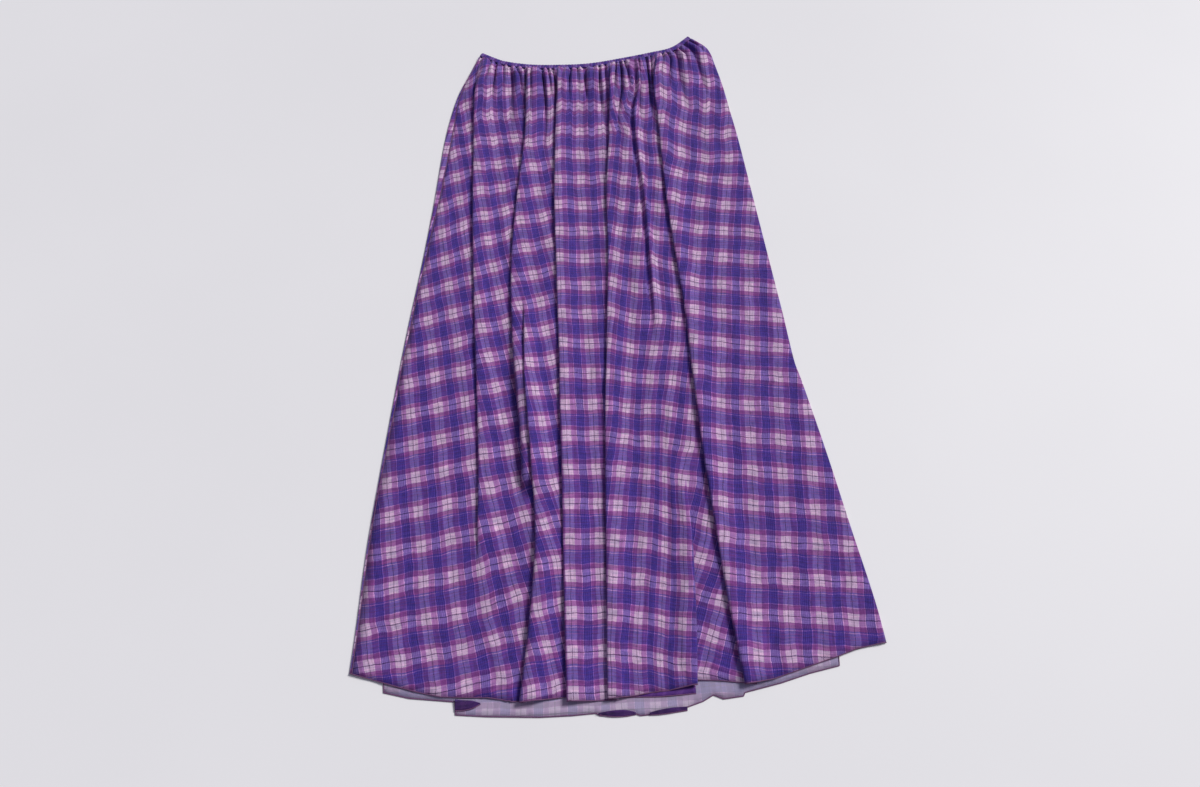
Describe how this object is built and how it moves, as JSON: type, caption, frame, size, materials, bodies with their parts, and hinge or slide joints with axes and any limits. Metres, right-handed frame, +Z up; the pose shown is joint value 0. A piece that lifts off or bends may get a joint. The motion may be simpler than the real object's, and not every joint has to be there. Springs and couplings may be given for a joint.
{
  "type": "maxi skirt",
  "caption": "Long gathered maxi skirt of checked woven cloth with a narrow elastic waistband, laid flat on its back with lengthwise folds.",
  "frame": {"origin": "on the surface that the skirt lies on, under the middle of its outline", "axes": "+Y from the hem to the waist, +Z up from the surface out of the front of the skirt, +X to the right of a person who looks down at the front with the waist away from them"},
  "size_m": [0.6046, 1.0016, 0.0107],
  "materials": {
    "cloth": "light plain-woven cloth in a plaid of indigo, magenta and off-white",
    "waistband": "the same cloth, gathered over a narrow elastic"
  },
  "bodies": {
    "root": {"front_panel": "cloth", "back_panel": "cloth", "waistband": "waistband"}
  },
  "joints": []
}
